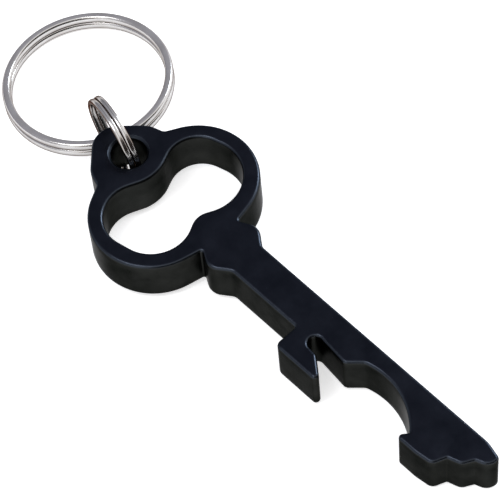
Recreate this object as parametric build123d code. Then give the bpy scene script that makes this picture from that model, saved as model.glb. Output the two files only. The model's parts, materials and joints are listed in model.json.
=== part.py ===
from build123d import *
import os
from math import asin, atan2, cos, degrees, hypot, pi, sin, tan

# Key-shaped bottle opener on a short chain of two split rings, all in millimetres.
# The key is cut from 7 mm aluminium plate. Its bow rests on the small split ring
# that runs through the bow's hole, its bit end rests on the table, and the large
# split ring lies beside the bow, linked through the small one.
# The key is drawn flat first: X along the blade towards the bit, Y across with the
# bow centred on Y = 0, and Z up from the key's underside.

# ---- key body ----
plate_thickness = 7.0
edge_round = 0.5                        # along every top and bottom edge
nose_x, nose_r = -2.0, 3.6              # round end of the lobe that holds the hole
lobe_x, lobe_y, lobe_r = 9.55, 4.0, 8.88
hole_x, hole_y, hole_r = -0.1, 0.4, 2.55
hole_chamfer = 0.35
blade_half_width = 2.8
collar_x, collar_y = 21.4, 4.78
mouth_x, mouth_y, mouth_r = 49.95, -10.6, 10.77
slot_x, slot_y, slot_r = 39.95, -2.7, 0.98
hook_y = -6.68                          # outer edge of the cap hook
lip_y = -5.09                           # outer edge of the lip behind the teeth

# ---- split rings, each wound twice from one wire ----
coil_gap = 0.06
small_ring_r, small_wire_across, small_wire_along, small_climb = 6.4, 0.8, 0.82, 46.0
large_ring_r, large_wire_across, large_wire_along, large_climb = 12.35, 1.25, 1.26, 26.0
small_wire_corner = 0.28
large_wire_corner = 0.6
end_gap_angle = 2.0                     # between each cut end and the climb

# Where the rings sit beside the flat key: centre, and the direction of the axis.
small_ring_centre = (-4.15, 1.31, 5.31)
small_ring_axis = (-0.224, -0.973, -0.051)
large_ring_centre = (-16.64, 6.75, 0.78)
large_ring_axis = (-0.074, 0.007, 0.998)

# The bow stands on the small ring's wire, so the key slopes down to its tip.
tip_x = 68.2
bow_lift = small_ring_r - small_ring_centre[2]
slope = degrees(asin(bow_lift / (tip_x - small_ring_centre[0])))

HOLLOW = -1
BULGE = 1


def heading(a, b):
    """Direction of the straight run that touches two circles (x, y, radius, side)."""
    away = atan2(b[1] - a[1], b[0] - a[0])
    return away - asin((a[3] * a[2] - b[3] * b[2]) / hypot(b[0] - a[0], b[1] - a[1]))


def outline(items):
    """Closed face, drawn clockwise from corners and circles joined by straight runs.

    A corner (x, y, radius) is rounded with its radius. A circle (x, y, radius, side)
    is given by its centre and either bulges out of the shape or hollows it.
    """
    pins = [item if len(item) == 4 else (item[0], item[1], 0, BULGE) for item in items]
    count = len(pins)
    out = [heading(pins[i], pins[(i + 1) % count]) for i in range(count)]
    arcs = []
    for i in range(count):
        x, y, r, side = pins[i]
        turn = (out[i] - out[i - 1] + pi) % (2 * pi) - pi
        if len(items[i]) == 3:
            r = items[i][2]
            side = BULGE if turn < 0 else HOLLOW
            reach = r * tan(abs(turn) / 2)
            x += -cos(out[i - 1]) * reach + side * r * sin(out[i - 1])
            y += -sin(out[i - 1]) * reach - side * r * cos(out[i - 1])
        elif turn * side > 0:
            turn -= side * 2 * pi
        headings = [out[i - 1] + turn * step for step in (0, 0.5, 1)]
        arcs.append([Vector(x - side * r * sin(h), y + side * r * cos(h)) for h in headings])
    edges = []
    for i in range(count):
        edges.append(ThreePointArc(*arcs[i]))
        following = arcs[(i + 1) % count][0]
        if (following - arcs[i][2]).length > 1e-4:
            edges.append(Line(arcs[i][2], following))
    return make_face(Wire(edges))


def mirrored(items):
    """The same outline items on the other side of the key, in reverse order."""
    return [(item[0], -item[1], *item[2:]) for item in reversed(items)]


def key_body():
    """One plate with the bow opening, the ring hole, the cap hook and the bit."""
    nose = [(nose_x, 0, nose_r, BULGE)]
    upper_bow = [
        (-1.56, 5.53, 4.0),
        (0.68, 6.24, 1.0),
        (lobe_x, lobe_y, lobe_r, BULGE),
        (18.8, 3.36, 0.3),
        (collar_x, collar_y, 2.2),
        (24.12, blade_half_width, 1.2),
    ]
    bit = [
        (66.2, 2.72, 5.0),
        (68.95, 2.02, 0.7),
        (68.8, 0.16, 1.9),
        (66.9, -0.52, 0.25),
        (66.03, -2.12, 1.5),
        (64.1, -2.75, 0.25),
        (63.31, -4.75, 1.3),
        (60.6, lip_y, 6.0),
        (57.75, lip_y, 0.55),
        (57.2, -4.55, 0.55),
        (58.05, -3.47, 0.2),
    ]
    mouth = [
        (mouth_x, mouth_y, mouth_r, HOLLOW),
        (46.8, -0.287, 1.2),
        (44.82, -2.23, 1.0),
    ]
    hook = [
        (slot_x, slot_y, slot_r, HOLLOW),
        (41.29, -3.81, 0.8),
        (44.99, hook_y, 0.6),
        (36.3, hook_y, 1.0),
        (36.3, -blade_half_width, 0.35),
    ]
    bow_opening = [
        (8.06, 5.75, 4.4, BULGE),
        (9.69, 4.6, 5.95, BULGE),
        (17.31, -0.04, 2.93, HOLLOW),
        (10.35, -4.69, 5.39, BULGE),
        (8.64, -5.43, 5.04, BULGE),
        (-0.78, 0.33, 5.89, HOLLOW),
    ]
    profile = outline(nose + upper_bow + bit + mouth + hook + mirrored(upper_bow))
    profile -= outline(bow_opening)
    plate = extrude(profile, plate_thickness)
    faces = plate.faces().sort_by(Axis.Z)
    plate = fillet([*faces[0].edges(), *faces[-1].edges()], edge_round)
    plate -= Pos(hole_x, hole_y) * Cylinder(
        hole_r, plate_thickness, align=(Align.CENTER, Align.CENTER, Align.MIN)
    )
    rims = plate.edges().filter_by(GeomType.CIRCLE).filter_by(
        lambda edge: abs(edge.radius - hole_r) < 1e-6
    )
    return chamfer(rims, hole_chamfer)


def split_ring(outer_r, across, along, corner, climb_angle, climb_start):
    """Two turns of one wire about Z, joined by a short climb past its cut ends."""
    level = (along + coil_gap) / 2
    wire = RectangleRounded(across, along, corner)
    wire = Rot(90, 0, 0) * wire
    wire = Pos(outer_r - across / 2, 0, 0) * wire

    def wire_at(angle, height):
        return Rot(0, 0, climb_start + angle) * Pos(0, 0, height) * wire

    flat_angle = 360 - climb_angle - end_gap_angle
    lower = revolve(wire_at(climb_angle + end_gap_angle, -level), Axis.Z, flat_angle)
    upper = revolve(wire_at(climb_angle, level), Axis.Z, flat_angle)
    steps = 8
    climb = []
    for step in range(steps + 1):
        share = step / steps
        climb.append(wire_at(climb_angle * share, -level * cos(pi * share)))
    return lower + loft(climb) + upper


key_flat = key_body()
small_flat = Plane(small_ring_centre, x_dir=(-1, 0, 0), z_dir=small_ring_axis) * split_ring(
    small_ring_r, small_wire_across, small_wire_along, small_wire_corner, small_climb, 77
)
large_flat = Plane(large_ring_centre, x_dir=(1, 0, 0), z_dir=large_ring_axis) * split_ring(
    large_ring_r, large_wire_across, large_wire_along, large_wire_corner, large_climb, 327
)

# Lay the assembly on the table, with the middle of its footprint at the origin.
sloped = Pos(tip_x, 0, 0) * Rot(0, slope, 0) * Pos(-tip_x, 0, 0)
pieces = {
    "key_body": sloped * key_flat,
    "small_split_ring": sloped * small_flat,
    "large_split_ring": sloped * large_flat,
}
extent = Compound(list(pieces.values())).bounding_box()
footprint = Pos(-extent.center().X, -extent.center().Y, -extent.min.Z)
os.makedirs("parts", exist_ok=True)
for name, piece in pieces.items():
    export_step(footprint * piece, f"parts/{name}.step")
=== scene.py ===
"""Key-shaped bottle opener on two split rings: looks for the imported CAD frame."""
import json
from math import asin, atan2, ceil, cos, degrees, hypot, pi, radians, sin, tan

import bpy
from mathutils import Matrix, Vector
from mathutils.geometry import delaunay_2d_cdt


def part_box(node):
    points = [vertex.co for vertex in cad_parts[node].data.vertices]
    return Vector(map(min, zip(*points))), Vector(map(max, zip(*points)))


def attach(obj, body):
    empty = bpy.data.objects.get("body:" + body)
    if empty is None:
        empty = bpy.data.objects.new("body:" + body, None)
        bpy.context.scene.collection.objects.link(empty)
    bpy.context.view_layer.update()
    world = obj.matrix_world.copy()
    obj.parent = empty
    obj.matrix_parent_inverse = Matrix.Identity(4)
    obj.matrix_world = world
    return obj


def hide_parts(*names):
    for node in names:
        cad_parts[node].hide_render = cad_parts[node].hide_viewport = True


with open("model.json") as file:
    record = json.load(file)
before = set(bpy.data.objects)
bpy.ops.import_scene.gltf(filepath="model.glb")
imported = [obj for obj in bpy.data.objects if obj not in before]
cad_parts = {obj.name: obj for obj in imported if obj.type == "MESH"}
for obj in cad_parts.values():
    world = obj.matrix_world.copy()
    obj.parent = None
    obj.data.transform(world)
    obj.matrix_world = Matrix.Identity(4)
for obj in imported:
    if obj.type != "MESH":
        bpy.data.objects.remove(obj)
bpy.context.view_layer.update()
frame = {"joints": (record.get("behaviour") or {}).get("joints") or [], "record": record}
MM = 0.001

# ---------------------------------------------------------------- camera
CAMERA_SPOT = (163.39, -124.05, 316.37)     # mm
CAMERA_TURN = (32.883, 3.916, 46.599)       # degrees about X, Y, Z
LENS = 197.8                                # mm on a 36 mm sensor

camera_data = bpy.data.cameras.new("camera")
camera_data.lens = LENS
camera_data.sensor_width = 36
camera_data.clip_start = 0.01
camera_data.clip_end = 10
camera = bpy.data.objects.new("camera", camera_data)
camera.location = Vector(CAMERA_SPOT) * MM
camera.rotation_euler = [radians(a) for a in CAMERA_TURN]
bpy.context.scene.collection.objects.link(camera)
bpy.context.scene.camera = camera
bpy.context.scene.view_settings.view_transform = "Standard"


# ---------------------------------------------------------------- node helpers
NUMBER_A, NUMBER_B = 2, 3       # a mix node's sockets for its two numbers
COLOUR_A, COLOUR_B = 6, 7       # and for its two colours
NUMBER_OUT, COLOUR_OUT = 0, 2


def new_material(name):
    """A node material with only its Principled shader and output."""
    material = bpy.data.materials.new(name)
    material.use_nodes = True
    return material, material.node_tree.nodes, material.node_tree.links


def add(nodes, kind, x, y, **inputs):
    """A node at (x, y), with input sockets set by name (spaces written as _)."""
    node = nodes.new(kind)
    node.location = (x, y)
    for key, value in inputs.items():
        node.inputs[key.replace("_", " ")].default_value = value
    return node


def ramp(nodes, x, y, stops):
    """A colour ramp from (position, colour) stops; a number stands for a grey."""
    node = nodes.new("ShaderNodeValToRGB")
    node.location = (x, y)
    elements = node.color_ramp.elements
    while len(elements) > 1:
        elements.remove(elements[-1])
    for i, (position, colour) in enumerate(stops):
        element = elements[0] if i == 0 else elements.new(position)
        element.position = position
        if not isinstance(colour, tuple):
            colour = (colour, colour, colour)
        element.color = (*colour, 1)
    return node


def mix_colour(nodes, x, y, blend="MIX"):
    """A colour mix node, which takes its two colours on sockets COLOUR_A and COLOUR_B."""
    node = nodes.new("ShaderNodeMix")
    node.data_type = "RGBA"
    node.blend_type = blend
    node.location = (x, y)
    return node


# ---------------------------------------------------------------- mesh helpers
def make_object(name, verts, faces, material, smooth=True):
    """A mesh object in the scene, with one material on all of its faces."""
    mesh = bpy.data.meshes.new(name)
    mesh.from_pydata(verts, [], faces)
    mesh.validate()
    mesh.polygons.foreach_set("use_smooth", [smooth] * len(mesh.polygons))
    mesh.materials.append(material)
    obj = bpy.data.objects.new(name, mesh)
    bpy.context.scene.collection.objects.link(obj)
    return obj


HOLLOW = -1
BULGE = 1
ARC_SPACING = 0.16      # mm between points on an arc, at most
ARC_TURN = 6            # degrees between points on an arc, at most
RUN_SPACING = 1.2       # mm between points on a straight run, at most


def heading(a, b):
    """Direction of the straight run that touches two circles (x, y, radius, side)."""
    away = atan2(b[1] - a[1], b[0] - a[0])
    return away - asin((a[3] * a[2] - b[3] * b[2]) / hypot(b[0] - a[0], b[1] - a[1]))


def outline(items):
    """Points (x, y, outward x, outward y) round a clockwise outline of arcs.

    A corner (x, y, radius) is rounded with its radius. A circle (x, y, radius, side)
    is given by its centre and either bulges out of the shape or hollows it.
    """
    pins = [item if len(item) == 4 else (item[0], item[1], 0, BULGE) for item in items]
    count = len(pins)
    out = [heading(pins[i], pins[(i + 1) % count]) for i in range(count)]
    points = []
    for i in range(count):
        x, y, r, side = pins[i]
        turn = (out[i] - out[i - 1] + pi) % (2 * pi) - pi
        if len(items[i]) == 3:
            r = items[i][2]
            side = BULGE if turn < 0 else HOLLOW
            reach = r * tan(abs(turn) / 2)
            x += -cos(out[i - 1]) * reach + side * r * sin(out[i - 1])
            y += -sin(out[i - 1]) * reach - side * r * cos(out[i - 1])
        elif turn * side > 0:
            turn -= side * 2 * pi
        pieces = max(ceil(abs(turn) * r / ARC_SPACING), ceil(abs(turn) / radians(ARC_TURN)), 1)
        for j in range(pieces + 1):
            h = out[i - 1] + turn * j / pieces
            points.append((x - side * r * sin(h), y + side * r * cos(h), -sin(h), cos(h)))
    filled = []
    for i, point in enumerate(points):
        filled.append(point)
        following = points[(i + 1) % len(points)]
        run = hypot(following[0] - point[0], following[1] - point[1])
        pieces = ceil(run / RUN_SPACING)
        for j in range(1, pieces):
            t = j / pieces
            filled.append(tuple(a + (b - a) * t for a, b in zip(point, following)))
    kept = []
    for i, point in enumerate(filled):
        following = filled[(i + 1) % len(filled)]
        if hypot(following[0] - point[0], following[1] - point[1]) > 1e-3:
            kept.append(point)
    return kept


def mirrored(items):
    """The same outline items on the other side of the key, in reverse order."""
    return [(item[0], -item[1], *item[2:]) for item in reversed(items)]


# ---------------------------------------------------------------- materials
def anodised_black():
    """Satin black anodised aluminium, grainy on its faces and lined up its walls."""
    material, nodes, links = new_material("black_anodised")
    shader = nodes["Principled BSDF"]

    # 0 on the walls, 1 on the flat faces, from how upright the normal stands.
    place = add(nodes, "ShaderNodeTexCoord", -1500, 0)
    split = add(nodes, "ShaderNodeSeparateXYZ", -1300, -300)
    links.new(place.outputs["Normal"], split.inputs[0])
    upright = add(nodes, "ShaderNodeMath", -1120, -300)
    upright.operation = "ABSOLUTE"
    links.new(split.outputs["Z"], upright.inputs[0])
    on_face = add(nodes, "ShaderNodeMapRange", -940, -300,
                  From_Min=0.35, From_Max=0.95, To_Min=0.0, To_Max=1.0)
    links.new(upright.outputs[0], on_face.inputs["Value"])

    # Cloudy tone, bluer on the faces and greyer on the walls: the cloud is the metal's own, but
    # the split between faces and walls is painted shading, set for how each is lit.
    cloud = add(nodes, "ShaderNodeTexNoise", -1100, 300, Scale=260.0, Detail=4.0, Roughness=0.55)
    grain = add(nodes, "ShaderNodeTexNoise", -1100, 60, Scale=2600.0, Detail=3.0, Roughness=0.6)
    links.new(place.outputs["Object"], cloud.inputs["Vector"])
    links.new(place.outputs["Object"], grain.inputs["Vector"])

    face_tone = ramp(nodes, -700, 420, [(0.3, (0.0105, 0.0125, 0.0185)),
                                        (0.7, (0.0165, 0.0190, 0.0270))])
    wall_tone = ramp(nodes, -700, 180, [(0.3, (0.016, 0.0168, 0.0160)),
                                        (0.7, (0.027, 0.0280, 0.0265))])
    links.new(cloud.outputs["Fac"], face_tone.inputs["Fac"])
    links.new(cloud.outputs["Fac"], wall_tone.inputs["Fac"])
    tone = mix_colour(nodes, -380, 300)
    links.new(on_face.outputs[0], tone.inputs["Factor"])
    links.new(wall_tone.outputs["Color"], tone.inputs[COLOUR_A])
    links.new(face_tone.outputs["Color"], tone.inputs[COLOUR_B])

    # The rounded edges are painted paler: a painted highlight along them.
    on_edge = ramp(nodes, -700, -120, [(0.35, 0.0), (0.60, 1.0), (0.84, 1.0), (0.96, 0.0)])
    links.new(upright.outputs[0], on_edge.inputs["Fac"])
    painted_light_mix = mix_colour(nodes, -260, 160)
    painted_light_mix.inputs[COLOUR_B].default_value = (0.036, 0.043, 0.055, 1)
    links.new(on_edge.outputs["Color"], painted_light_mix.inputs["Factor"])
    links.new(tone.outputs[COLOUR_OUT], painted_light_mix.inputs[COLOUR_A])

    # Fine pale specks, in patches.
    dust = add(nodes, "ShaderNodeTexVoronoi", -1100, 620, Scale=1100.0)
    links.new(place.outputs["Object"], dust.inputs["Vector"])
    dust_size = ramp(nodes, -860, 620, [(0.0, 1.0), (0.055, 1.0), (0.085, 0.0)])
    links.new(dust.outputs["Distance"], dust_size.inputs["Fac"])
    patches = ramp(nodes, -860, 840, [(0.60, 0.0), (0.70, 0.6)])
    links.new(grain.outputs["Fac"], patches.inputs["Fac"])
    speck = add(nodes, "ShaderNodeMath", -560, 700)
    speck.operation = "MULTIPLY"
    links.new(dust_size.outputs["Color"], speck.inputs[0])
    links.new(patches.outputs["Color"], speck.inputs[1])
    dusty = mix_colour(nodes, -160, 360)
    dusty.inputs[COLOUR_B].default_value = (0.09, 0.11, 0.15, 1)
    links.new(speck.outputs[0], dusty.inputs["Factor"])
    links.new(painted_light_mix.outputs[COLOUR_OUT], dusty.inputs[COLOUR_A])
    links.new(dusty.outputs[COLOUR_OUT], shader.inputs["Base Color"])

    # Gloss and relief: grain on the faces, upright lines on the walls, a slow wave on both.
    gloss = add(nodes, "ShaderNodeMapRange", -500, -60,
                From_Min=0.3, From_Max=0.7, To_Min=0.27, To_Max=0.37)
    links.new(cloud.outputs["Fac"], gloss.inputs["Value"])
    links.new(gloss.outputs[0], shader.inputs["Roughness"])

    stretch = add(nodes, "ShaderNodeMapping", -1300, -560, Scale=(1.0, 1.0, 0.04))
    links.new(place.outputs["Object"], stretch.inputs["Vector"])
    streak = add(nodes, "ShaderNodeTexNoise", -1100, -560, Scale=2300.0, Detail=3.0, Roughness=0.6)
    links.new(stretch.outputs["Vector"], streak.inputs["Vector"])
    relief = add(nodes, "ShaderNodeMix", -700, -480)
    links.new(on_face.outputs[0], relief.inputs["Factor"])
    links.new(streak.outputs["Fac"], relief.inputs[NUMBER_A])
    links.new(grain.outputs["Fac"], relief.inputs[NUMBER_B])
    fine = add(nodes, "ShaderNodeBump", -420, -420, Strength=0.35, Distance=0.00004)
    links.new(relief.outputs[NUMBER_OUT], fine.inputs["Height"])
    wave = add(nodes, "ShaderNodeBump", -200, -420, Strength=0.3, Distance=0.00025)
    links.new(cloud.outputs["Fac"], wave.inputs["Height"])
    links.new(fine.outputs["Normal"], wave.inputs["Normal"])
    links.new(wave.outputs["Normal"], shader.inputs["Normal"])

    # A dark metal, tinted to stay dark where it is seen at a grazing angle.
    shader.inputs["Metallic"].default_value = 1.0
    shader.inputs["Specular Tint"].default_value = (0.42, 0.42, 0.42, 1)
    return material


def polished_wire(name, painted_shade_stops):
    """Bright plated spring wire, drawn along its length.

    The painted shade is a list of ramp stops round the wire, from its outer side (0) up
    and over its top, inner side and underside, back to the outer side (1).
    """
    material, nodes, links = new_material(name)
    shader = nodes["Principled BSDF"]
    shader.inputs["Metallic"].default_value = 1.0
    shader.inputs["Specular Tint"].default_value = (0.22, 0.18, 0.16, 1)
    along = nodes.new("ShaderNodeUVMap")
    along.location = (-1300, 0)
    stretch = add(nodes, "ShaderNodeMapping", -1100, 0, Scale=(1.2, 40.0, 1.0))
    links.new(along.outputs["UV"], stretch.inputs["Vector"])
    lines = add(nodes, "ShaderNodeTexNoise", -900, 0, Scale=1.0, Detail=4.0, Roughness=0.6)
    links.new(stretch.outputs["Vector"], lines.inputs["Vector"])
    place = add(nodes, "ShaderNodeTexCoord", -1300, 300)
    stain = add(nodes, "ShaderNodeTexNoise", -900, 300, Scale=420.0, Detail=3.0)
    links.new(place.outputs["Object"], stain.inputs["Vector"])
    tone = ramp(nodes, -600, 300, [(0.3, (0.50, 0.485, 0.475)), (0.65, (0.58, 0.57, 0.565))])
    links.new(stain.outputs["Fac"], tone.inputs["Fac"])
    # Painted shade round the wire, from the ramp stops, multiplied into its own tone.
    round_wire = add(nodes, "ShaderNodeSeparateXYZ", -1100, 520)
    links.new(along.outputs["UV"], round_wire.inputs[0])
    seam = ramp(nodes, -600, 560, painted_shade_stops)
    links.new(round_wire.outputs["Y"], seam.inputs["Fac"])
    painted_light_mix = mix_colour(nodes, -280, 420, "MULTIPLY")
    painted_light_mix.inputs["Factor"].default_value = 1.0
    links.new(tone.outputs["Color"], painted_light_mix.inputs[COLOUR_A])
    links.new(seam.outputs["Color"], painted_light_mix.inputs[COLOUR_B])
    links.new(painted_light_mix.outputs[COLOUR_OUT], shader.inputs["Base Color"])
    gloss = add(nodes, "ShaderNodeMapRange", -600, 0,
                From_Min=0.3, From_Max=0.7, To_Min=0.14, To_Max=0.26)
    links.new(lines.outputs["Fac"], gloss.inputs["Value"])
    links.new(gloss.outputs[0], shader.inputs["Roughness"])
    bump = add(nodes, "ShaderNodeBump", -300, -200, Strength=0.05, Distance=0.00001)
    links.new(lines.outputs["Fac"], bump.inputs["Height"])
    links.new(bump.outputs["Normal"], shader.inputs["Normal"])
    return material


PAINTED_SHADE = (0.30, 0.24, 0.20)      # painted shade colour, which multiplies the wire's own tone
# Painted shade: LOWER_SEAMS darkens the underside of each coil, at the seam between the turns and
# where the ring meets the floor; BOTH_SEAMS darkens both coil faces of each turn.
LOWER_SEAMS = [(0.0, 0.85), (0.10, 1.0), (0.40, 1.0), (0.50, 0.85), (0.53, 0.75),
               (0.60, PAINTED_SHADE), (0.90, PAINTED_SHADE), (0.96, 0.75), (1.0, 0.85)]
BOTH_SEAMS = [(0.0, 0.55), (0.03, 1.0), (0.11, 1.0), (0.17, PAINTED_SHADE), (0.33, PAINTED_SHADE), (0.39, 1.0),
              (0.61, 1.0), (0.67, PAINTED_SHADE), (0.83, PAINTED_SHADE), (0.89, 1.0), (0.97, 1.0), (1.0, 0.55)]


# ---------------------------------------------------------------- key plate
PLATE = 7.0             # thickness
EDGE = 0.5              # radius along every top and bottom edge
EDGE_STEPS = 7          # facets round each edge
WALL_STEPS = 6          # bands up each wall between its edges
HOLE = (-0.1, 0.4, 2.55)
HOLE_POINTS = 120
HOLE_CHAMFER = 0.35
CHAMFER_BLEND = 0.03    # rounds the chamfer into the wall and the face
BLADE = 2.8             # half its width
SLOPE = 0.8632          # degrees that the key dips towards its tip

# Outlines in mm: X along the blade to its bit, Y across it, bow centred on Y = 0.
NOSE = [(-2.0, 0, 3.6, BULGE)]
UPPER_BOW = [
    (-1.56, 5.53, 4.0),
    (0.68, 6.24, 1.0),
    (9.55, 4.0, 8.88, BULGE),
    (18.8, 3.36, 0.3),
    (21.4, 4.78, 2.2),
    (24.12, BLADE, 1.2),
]
BIT = [
    (66.2, 2.72, 5.0),
    (68.95, 2.02, 0.7),
    (68.8, 0.16, 1.9),
    (66.9, -0.52, 0.25),
    (66.03, -2.12, 1.5),
    (64.1, -2.75, 0.25),
    (63.31, -4.75, 1.3),
    (60.6, -5.09, 6.0),
    (57.75, -5.09, 0.55),
    (57.2, -4.55, 0.55),
    (58.05, -3.47, 0.2),
]
MOUTH_AND_HOOK = [
    (49.95, -10.6, 10.77, HOLLOW),
    (46.8, -0.287, 1.2),
    (44.82, -2.23, 1.0),
    (39.95, -2.7, 0.98, HOLLOW),
    (41.29, -3.81, 0.8),
    (44.99, -6.68, 0.6),
    (36.3, -6.68, 1.0),
    (36.3, -BLADE, 0.35),
]
BOW_OPENING = [
    (8.06, 5.75, 4.4, BULGE),
    (9.69, 4.6, 5.95, BULGE),
    (17.31, -0.04, 2.93, HOLLOW),
    (10.35, -4.69, 5.39, BULGE),
    (8.64, -5.43, 5.04, BULGE),
    (-0.78, 0.33, 5.89, HOLLOW),
]


def wall_profile(low):
    """(inset, height) pairs up a wall, from its lower edge and a mirrored upper edge."""
    high = [(inset, PLATE - z) for inset, z in reversed(low)]
    inset, start = low[-1]
    rise = high[0][1] - start
    middle = [(inset, start + rise * k / WALL_STEPS) for k in range(1, WALL_STEPS)]
    return low + middle + high


def round_edge():
    """(inset, height) pairs of a quarter round from the bottom face to the wall."""
    angles = [pi / 2 * i / EDGE_STEPS for i in range(EDGE_STEPS + 1)]
    return [(EDGE * (1 - sin(angle)), EDGE * (1 - cos(angle))) for angle in angles]


def chamfered_edge():
    """(inset, height) pairs of a chamfer with its own two edges slightly eased."""
    return [(HOLE_CHAMFER + 2 * CHAMFER_BLEND, 0.0),
            (HOLE_CHAMFER, 0.02),
            (HOLE_CHAMFER - CHAMFER_BLEND, 0.05),
            (CHAMFER_BLEND, HOLE_CHAMFER - CHAMFER_BLEND),
            (0.0, HOLE_CHAMFER + CHAMFER_BLEND)]


def encloses(loop, point):
    """True where the point lies within the loop, seen from above."""
    within = False
    for i, (x1, y1) in enumerate(loop):
        x0, y0 = loop[i - 1]
        if (y0 > point.y) != (y1 > point.y):
            if point.x < x0 + (x1 - x0) * (point.y - y0) / (y1 - y0):
                within = not within
    return within


def wall(loop, profile, is_hole, verts, faces):
    """Add a wall round the loop and return where its bottom and top rims start."""
    first = len(verts)
    count = len(loop)
    for inset, z in profile:
        for x, y, nx, ny in loop:
            verts.append((x - nx * inset, y - ny * inset, z))
    for level in range(len(profile) - 1):
        for j in range(count):
            a = first + level * count + j
            b = first + level * count + (j + 1) % count
            quad = (a, b, b + count, a + count)
            faces.append(quad if is_hole else quad[::-1])
    return first, first + (len(profile) - 1) * count


def flat_face(rims, verts, faces, is_top):
    """Add the flat face inside the first rim (start, count) and outside the others."""
    points = []
    source = []
    edges = []
    loops = []
    for start, count in rims:
        base = len(points)
        for j in range(count):
            points.append(Vector(verts[start + j][:2]))
            source.append(start + j)
            edges.append((base + j, base + (j + 1) % count))
        loops.append(points[base:])
    _, _, triangles, origin, _, _ = delaunay_2d_cdt(points, edges, [], 1, 1e-6)
    index = [source[parents[0]] for parents in origin]
    for triangle in triangles:
        corners = [index[v] for v in triangle]
        middle = sum((Vector(verts[v]) for v in corners), Vector()) / 3
        if not any(encloses(loop, middle) for loop in loops[1:]):
            faces.append(corners if is_top else corners[::-1])


def key_plate(material):
    """The whole plate as one closed mesh, each wall lofted through its edge profile."""
    outer = outline(NOSE + UPPER_BOW + BIT + MOUTH_AND_HOOK + mirrored(UPPER_BOW))
    opening = [(x, y, -nx, -ny) for x, y, nx, ny in outline(BOW_OPENING)]
    hole_x, hole_y, hole_r = HOLE
    hole = []
    for i in range(HOLE_POINTS):
        a = -2 * pi * i / HOLE_POINTS
        hole.append((hole_x + hole_r * cos(a), hole_y + hole_r * sin(a), -cos(a), -sin(a)))
    verts = []
    faces = []
    bottom_rims = []
    top_rims = []
    for loop, edge, is_hole in ((outer, round_edge(), False), (opening, round_edge(), True),
                                (hole, chamfered_edge(), True)):
        bottom_start, top_start = wall(loop, wall_profile(edge), is_hole, verts, faces)
        bottom_rims.append((bottom_start, len(loop)))
        top_rims.append((top_start, len(loop)))
    flat_face(bottom_rims, verts, faces, False)
    flat_face(top_rims, verts, faces, True)

    # Slope the key and set it on the place of its CAD solid.
    tilt = Matrix.Rotation(radians(SLOPE), 4, "Y")
    placed = [tilt @ Vector(v) for v in verts]
    low = [min(v[axis] for v in placed) for axis in range(3)]
    cad_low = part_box("key_body")[0]
    shift = Vector([cad_low[axis] - low[axis] * MM for axis in range(3)])
    return make_object("key_plate", [v * MM + shift for v in placed], faces, material)


# ---------------------------------------------------------------- split rings
COIL_GAP = 0.06         # between the two turns of each ring
END_GAP = 2.0           # degrees between each cut end and the climb
END_BEVEL = 0.07        # along the wire, at each cut end
END_SHRINK = 0.86       # of the wire's section, on the cut faces
SECTION_POINTS = 28
STATION_TURN = 1.0      # degrees between sections along the wire

# Outer radius, wire across and along the axis, depth of the wire's rounded sides, and
# the turn (degrees) over which the wire climbs from the lower coil to the upper.
SMALL_WIRE = {"outer_r": 6.4, "across": 0.8, "along": 0.82, "side": 0.24,
              "climb": 46.0, "climb_start": 77}
LARGE_WIRE = {"outer_r": 12.35, "across": 1.25, "along": 1.26, "side": 0.40,
              "climb": 26.0, "climb_start": 327}


def wire_section(wire):
    """Points (out from the ring's axis, along it) round the wire, with flat coil faces."""
    section = []
    for i in range(SECTION_POINTS):
        a = 2 * pi * (i + 0.5) / SECTION_POINTS
        flat = wire["across"] / 2 - wire["side"]
        across = (flat if cos(a) > 0 else -flat) + wire["side"] * cos(a)
        section.append((across, wire["along"] / 2 * sin(a)))
    return section


def wire_stations(wire):
    """(angle, scale) pairs along both turns, closing to a point at each cut end."""
    first = wire["climb"] + END_GAP
    last = 720 - END_GAP
    bevel = degrees(END_BEVEL / wire["outer_r"])
    count = round((last - first) / STATION_TURN)
    body = [(first + (last - first) * i / count, 1.0) for i in range(1, count)]
    start = [(first, 0.0), (first, END_SHRINK), (first + bevel, 1.0)]
    end = [(last - bevel, 1.0), (last, END_SHRINK), (last, 0.0)]
    return start + body + end


def wire_height(wire, angle):
    """Height of the wire's middle above the ring's own middle plane."""
    level = (wire["along"] + COIL_GAP) / 2
    climbed = min(max((angle - 360) / wire["climb"], 0), 1)
    return -level * cos(pi * climbed)


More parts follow.
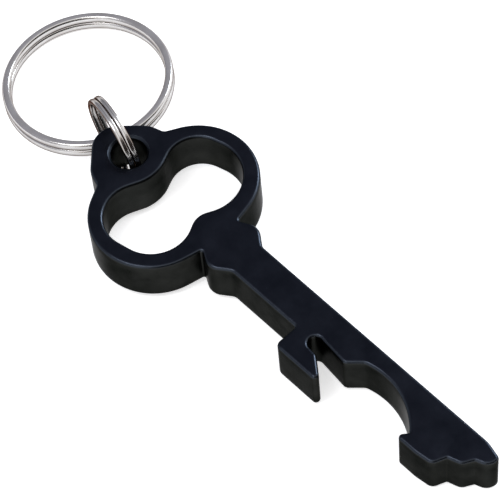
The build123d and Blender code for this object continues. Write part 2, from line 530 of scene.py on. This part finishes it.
def split_ring(name, centre, axis, x_dir, wire, material):
    """Two turns of one wire about its axis, with a short climb past its cut ends."""
    section = wire_section(wire)
    stations = wire_stations(wire)
    z_dir = Vector(axis).normalized()
    x_dir = (Vector(x_dir) - z_dir * z_dir.dot(Vector(x_dir))).normalized()
    y_dir = z_dir.cross(x_dir)
    middle = wire["outer_r"] - wire["across"] / 2
    verts = []
    rows = []
    for angle, scale in stations:
        a = radians(angle + wire["climb_start"])
        out = x_dir * cos(a) + y_dir * sin(a)
        height = wire_height(wire, angle)
        row = []
        for u, v in (section if scale else [(0.0, 0.0)]):
            row.append(len(verts))
            point = out * (middle + u * scale) + z_dir * (height + v * scale)
            verts.append(Vector(centre) + point * MM)
        rows.append(row)
    faces = []
    uvs = []
    for i in range(len(rows) - 1):
        a, b = rows[i], rows[i + 1]
        ua = radians(stations[i][0]) * wire["outer_r"]
        ub = radians(stations[i + 1][0]) * wire["outer_r"]
        for j in range(SECTION_POINTS):
            k = (j + 1) % SECTION_POINTS
            va, vb = j / SECTION_POINTS, (j + 1) / SECTION_POINTS
            if len(a) == 1:
                faces.append((a[0], b[k], b[j]))
                uvs.append(((ua, va), (ub, vb), (ub, va)))
            elif len(b) == 1:
                faces.append((a[j], a[k], b[0]))
                uvs.append(((ua, va), (ua, vb), (ub, va)))
            else:
                faces.append((a[j], a[k], b[k], b[j]))
                uvs.append(((ua, va), (ua, vb), (ub, vb), (ub, va)))
    ring = make_object(name, verts, faces, material)
    layer = ring.data.uv_layers.new(name="wire")
    for polygon, corners in zip(ring.data.polygons, uvs):
        for loop, uv in zip(polygon.loop_indices, corners):
            layer.data[loop].uv = uv
    return ring


joints = {joint["name"]: joint for joint in frame["joints"]}
mounts = {mount["name"]: mount for mount in frame["record"]["mounts"]}
turn = joints["small_ring_turn"]            # stands at the small ring's centre
loop_mount = mounts["key_ring_loop"]        # and this at the large ring's

key = key_plate(anodised_black())
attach(key, "key")
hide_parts("key_body")

small_ring = split_ring("small_ring_coils", turn["pos_m"], [-c for c in turn["axis"]],
                        (-1, 0, 0.015), SMALL_WIRE,
                        polished_wire("small_ring_wire", BOTH_SEAMS))
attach(small_ring, "small_ring")
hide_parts("small_split_ring")

large_ring = split_ring("large_ring_coils", loop_mount["pos_m"], loop_mount["axis"],
                        (1, 0, -0.015), LARGE_WIRE,
                        polished_wire("large_ring_wire", LOWER_SEAMS))
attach(large_ring, "large_ring")
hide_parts("large_split_ring")


# ---------------------------------------------------------------- floor and light
def pale_floor():
    """White paper, lit a little from within so that it stays white under the key."""
    material, nodes, links = new_material("pale_floor")
    shader = nodes["Principled BSDF"]
    place = add(nodes, "ShaderNodeTexCoord", -900, 0)
    paper = add(nodes, "ShaderNodeTexNoise", -700, 0, Scale=40.0, Detail=3.0)
    links.new(place.outputs["Object"], paper.inputs["Vector"])
    tone = ramp(nodes, -450, 0, [(0.3, 0.86), (0.7, 0.88)])
    links.new(paper.outputs["Fac"], tone.inputs["Fac"])
    links.new(tone.outputs["Color"], shader.inputs["Base Color"])
    shader.inputs["Roughness"].default_value = 0.9
    shader.inputs["Specular IOR Level"].default_value = 0.1
    shader.inputs["Emission Color"].default_value = (1, 1, 1, 1)
    shader.inputs["Emission Strength"].default_value = 0.6
    return material


FLOOR_HALF = 1.5        # metres from the middle to each side
floor_corners = [(x * FLOOR_HALF, y * FLOOR_HALF, 0)
                 for x, y in ((-1, -1), (1, -1), (1, 1), (-1, 1))]
floor = make_object("floor", floor_corners, [(0, 1, 2, 3)], pale_floor(), smooth=False)


def facing(nodes, links, y, towards):
    """How far the sky direction points along a fixed vector, as 0 to 1."""
    sky = add(nodes, "ShaderNodeTexCoord", -1300, y)
    dot = add(nodes, "ShaderNodeVectorMath", -1100, y)
    dot.operation = "DOT_PRODUCT"
    dot.inputs[1].default_value = towards
    links.new(sky.outputs["Generated"], dot.inputs[0])
    share = add(nodes, "ShaderNodeMapRange", -900, y, From_Min=-1.0, From_Max=1.0)
    links.new(dot.outputs["Value"], share.inputs["Value"])
    return share.outputs[0]


def studio_world():
    """A tent that brightens towards +X, with one dark patch in it for the metal to show."""
    world = bpy.data.worlds.new("studio")
    world.use_nodes = True
    nodes, links = world.node_tree.nodes, world.node_tree.links
    tent = ramp(nodes, -650, 200, [(0.0, (0.36, 0.36, 0.40)), (0.30, (0.52, 0.52, 0.57)),
                                   (0.44, (0.60, 0.60, 0.64)), (0.66, (1.3, 1.3, 1.3))])
    links.new(facing(nodes, links, 200, (0.996, 0.087, 0.0)), tent.inputs["Fac"])
    dark_width = ramp(nodes, -650, -100, [(0.76, 0.0), (0.84, 1.0)])
    links.new(facing(nodes, links, -100, (0.998, -0.052, 0.0)), dark_width.inputs["Fac"])
    dark_height = ramp(nodes, -650, -400, [(0.44, 0.0), (0.47, 1.0), (0.84, 1.0), (0.90, 0.0)])
    links.new(facing(nodes, links, -400, (0.0, 0.0, 1.0)), dark_height.inputs["Fac"])
    dark = add(nodes, "ShaderNodeMath", -350, -200)
    dark.operation = "MULTIPLY"
    links.new(dark_width.outputs["Color"], dark.inputs[0])
    links.new(dark_height.outputs["Color"], dark.inputs[1])
    shade = ramp(nodes, -150, -200, [(0.0, (1.0, 1.0, 1.0)), (0.45, (0.42, 0.34, 0.28)),
                                     (0.9, (0.02, 0.016, 0.013))])
    links.new(dark.outputs[0], shade.inputs["Fac"])
    room = mix_colour(nodes, 150, 100, "MULTIPLY")
    room.inputs["Factor"].default_value = 1.0
    links.new(tent.outputs["Color"], room.inputs[COLOUR_A])
    links.new(shade.outputs["Color"], room.inputs[COLOUR_B])
    links.new(room.outputs[COLOUR_OUT], nodes["Background"].inputs["Color"])
    nodes["Background"].inputs["Strength"].default_value = 1.0
    return world


def softbox(name, spot, size, power, colour):
    """A square area light at a spot in metres, turned to the middle of the key."""
    data = bpy.data.lights.new(name, "AREA")
    data.shape = "SQUARE"
    data.size = size
    data.energy = power
    data.color = colour
    light = bpy.data.objects.new(name, data)
    light.location = spot
    light.rotation_euler = Vector(spot).to_track_quat("Z", "Y").to_euler()
    bpy.context.scene.collection.objects.link(light)


bpy.context.scene.world = studio_world()
softbox("overhead_softbox", (-0.05, -0.26, 0.62), 0.22, 1.3, (1.0, 1.0, 1.0))
softbox("side_softbox", (0.02, 0.62, 0.33), 0.24, 2.6, (0.84, 0.92, 1.0))
